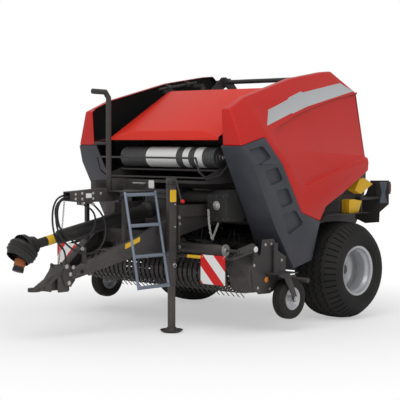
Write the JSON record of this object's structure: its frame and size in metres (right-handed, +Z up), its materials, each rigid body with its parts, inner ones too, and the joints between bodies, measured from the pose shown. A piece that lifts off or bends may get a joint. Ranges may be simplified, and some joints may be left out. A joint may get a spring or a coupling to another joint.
{
  "type": "round baler",
  "caption": "Towed round baler with a fixed roller chamber, opening tailgate, raised pick-up, gull-wing side panels, ring-eye drawbar and parking jack.",
  "frame": {"origin": "on the ground, at the middle of the bounding box in length and width", "axes": "+X to the machine's left side, -Y the direction of travel, +Z up"},
  "size_m": [2.54, 4.0814, 2.33],
  "materials": {
    "red": "gloss",
    "hood_red": "satin",
    "shield_grey": "semi-gloss",
    "frame_grey": "satin",
    "steel": "brushed",
    "ladder": "galvanised",
    "rim": "satin",
    "tyre": "matte",
    "black": "matte",
    "rollers": "satin",
    "net": "film wrapped",
    "board": "striped",
    "chock": "gloss",
    "hose": "matte",
    "lamp": "gloss"
  },
  "bodies": {
    "chassis": {"chamber_walls": "frame_grey", "front_rollers": "rollers", "top_tube": "frame_grey", "top_cover": "frame_grey", "axle": "frame_grey", "main_frame": "frame_grey", "drawbar": "frame_grey", "hitch_head": "frame_grey", "drawbar_eye": "frame_grey", "jack_body": "frame_grey", "net_box": "frame_grey", "hood": "hood_red", "panel_hinges": "frame_grey", "mudguards": "frame_grey", "wheel_chocks": "chock", "rear_lamps": "lamp", "gearbox": "frame_grey", "side_box": "black", "pto_guard": "black", "platform": "ladder", "ladder": "ladder", "handrail": "frame_grey", "hose_arm": "frame_grey", "pto_boot": "black", "hose_brake": "hose", "hose_loop": "hose", "hose_lamp": "hose", "hose_lift": "hose", "hose_couplers": "steel", "pto_shaft": "frame_grey"},
    "tailgate": {"tailgate_walls": "frame_grey", "tailgate_rollers": "rollers", "tailgate_wrap": "frame_grey"},
    "wheel_left": {"tyre_left": "tyre", "rim_left": "rim"},
    "wheel_right": {"tyre_right": "tyre", "rim_right": "rim"},
    "jack_leg": {"jack_leg": "frame_grey"},
    "net_roll": {"net_roll": "net"},
    "barrel_left": {"cylinder_barrel_left": "frame_grey"},
    "barrel_right": {"cylinder_barrel_right": "frame_grey"},
    "rod_left": {"cylinder_rod_left": "steel"},
    "rod_right": {"cylinder_rod_right": "steel"},
    "panel_left": {"side_panel_left": "red", "side_shield_left": "shield_grey"},
    "panel_right": {"side_panel_right": "red", "side_shield_right": "shield_grey"},
    "feed_rotor": {"feed_rotor": "frame_grey"},
    "pickup": {"pickup_frame": "frame_grey", "pickup_bands": "frame_grey", "side_shrouds": "frame_grey", "wind_guard": "frame_grey", "warning_boards": "board"},
    "pickup_reel": {"pickup_reel": "frame_grey"},
    "press_roller": {"press_roller": "frame_grey"},
    "gauge_left": {"gauge_tyre_left": "tyre", "gauge_rim_left": "rim"},
    "gauge_right": {"gauge_tyre_right": "tyre", "gauge_rim_right": "rim"}
  },
  "joints": [
    {"name": "tailgate_hinge", "type": "hinge", "parent": "chassis", "child": "tailgate", "pos_m": [0, 1.27, 2.27], "axis": [1, 0, 0], "range_deg": [0, 62]},
    {"name": "wheel_left_spin", "type": "hinge", "parent": "chassis", "child": "wheel_left", "pos_m": [0.96, 1.12, 0.455], "axis": [1, 0, 0], "continuous": true},
    {"name": "cylinder_left_pivot", "type": "hinge", "parent": "chassis", "child": "barrel_left", "pos_m": [0.69, 1.02, 1], "axis": [1, 0, 0], "range_deg": [0, 8.35]},
    {"name": "cylinder_left_stroke", "type": "slide", "parent": "barrel_left", "child": "rod_left", "axis": [0, 0.6606, 0.7507], "range_m": [0, 0.6565]},
    {"name": "panel_left_hinge", "type": "hinge", "parent": "chassis", "child": "panel_left", "pos_m": [0.76, 0.44, 2.175], "axis": [0, -0.9868, -0.162], "range_deg": [0, 65]},
    {"name": "gauge_wheel_left_spin", "type": "hinge", "parent": "pickup", "child": "gauge_left", "pos_m": [1.175, 0.11, 0.288], "axis": [1, 0, 0], "continuous": true},
    {"name": "wheel_right_spin", "type": "hinge", "parent": "chassis", "child": "wheel_right", "pos_m": [-0.96, 1.12, 0.455], "axis": [1, 0, 0], "continuous": true},
    {"name": "cylinder_right_pivot", "type": "hinge", "parent": "chassis", "child": "barrel_right", "pos_m": [-0.69, 1.02, 1], "axis": [1, 0, 0], "range_deg": [0, 8.35]},
    {"name": "cylinder_right_stroke", "type": "slide", "parent": "barrel_right", "child": "rod_right", "axis": [0, 0.6606, 0.7507], "range_m": [0, 0.6565]},
    {"name": "panel_right_hinge", "type": "hinge", "parent": "chassis", "child": "panel_right", "pos_m": [-0.76, 0.44, 2.175], "axis": [0, 0.9868, 0.162], "range_deg": [0, 65]},
    {"name": "gauge_wheel_right_spin", "type": "hinge", "parent": "pickup", "child": "gauge_right", "pos_m": [-1.175, 0.11, 0.288], "axis": [1, 0, 0], "continuous": true},
    {"name": "pickup_lift", "type": "hinge", "parent": "chassis", "child": "pickup", "pos_m": [0, 0.42, 0.69], "axis": [1, 0, 0], "range_deg": [0, 20]},
    {"name": "pickup_reel_spin", "type": "hinge", "parent": "pickup", "child": "pickup_reel", "pos_m": [0, -0.2, 0.5], "axis": [1, 0, 0], "continuous": true},
    {"name": "press_roller_spin", "type": "hinge", "parent": "pickup", "child": "press_roller", "pos_m": [0, -0.425, 0.727], "axis": [1, 0, 0], "continuous": true},
    {"name": "feed_rotor_spin", "type": "hinge", "parent": "chassis", "child": "feed_rotor", "pos_m": [0, 0.42, 0.69], "axis": [1, 0, 0], "continuous": true},
    {"name": "net_roll_spin", "type": "hinge", "parent": "chassis", "child": "net_roll", "pos_m": [0, -0.15, 1.52], "axis": [1, 0, 0], "continuous": true},
    {"name": "jack_leg_slide", "type": "slide", "parent": "chassis", "child": "jack_leg", "axis": [0, 0, 1], "range_m": [0, 0.34]}
  ],
  "couplings": [
    {"joint": "cylinder_left_pivot", "follows": "tailgate_hinge", "ratio": 0.13449},
    {"joint": "cylinder_left_stroke", "follows": "tailgate_hinge", "m_per_rad": 0.60621},
    {"joint": "cylinder_right_pivot", "follows": "tailgate_hinge", "ratio": 0.13449},
    {"joint": "cylinder_right_stroke", "follows": "tailgate_hinge", "m_per_rad": 0.60621}
  ]
}
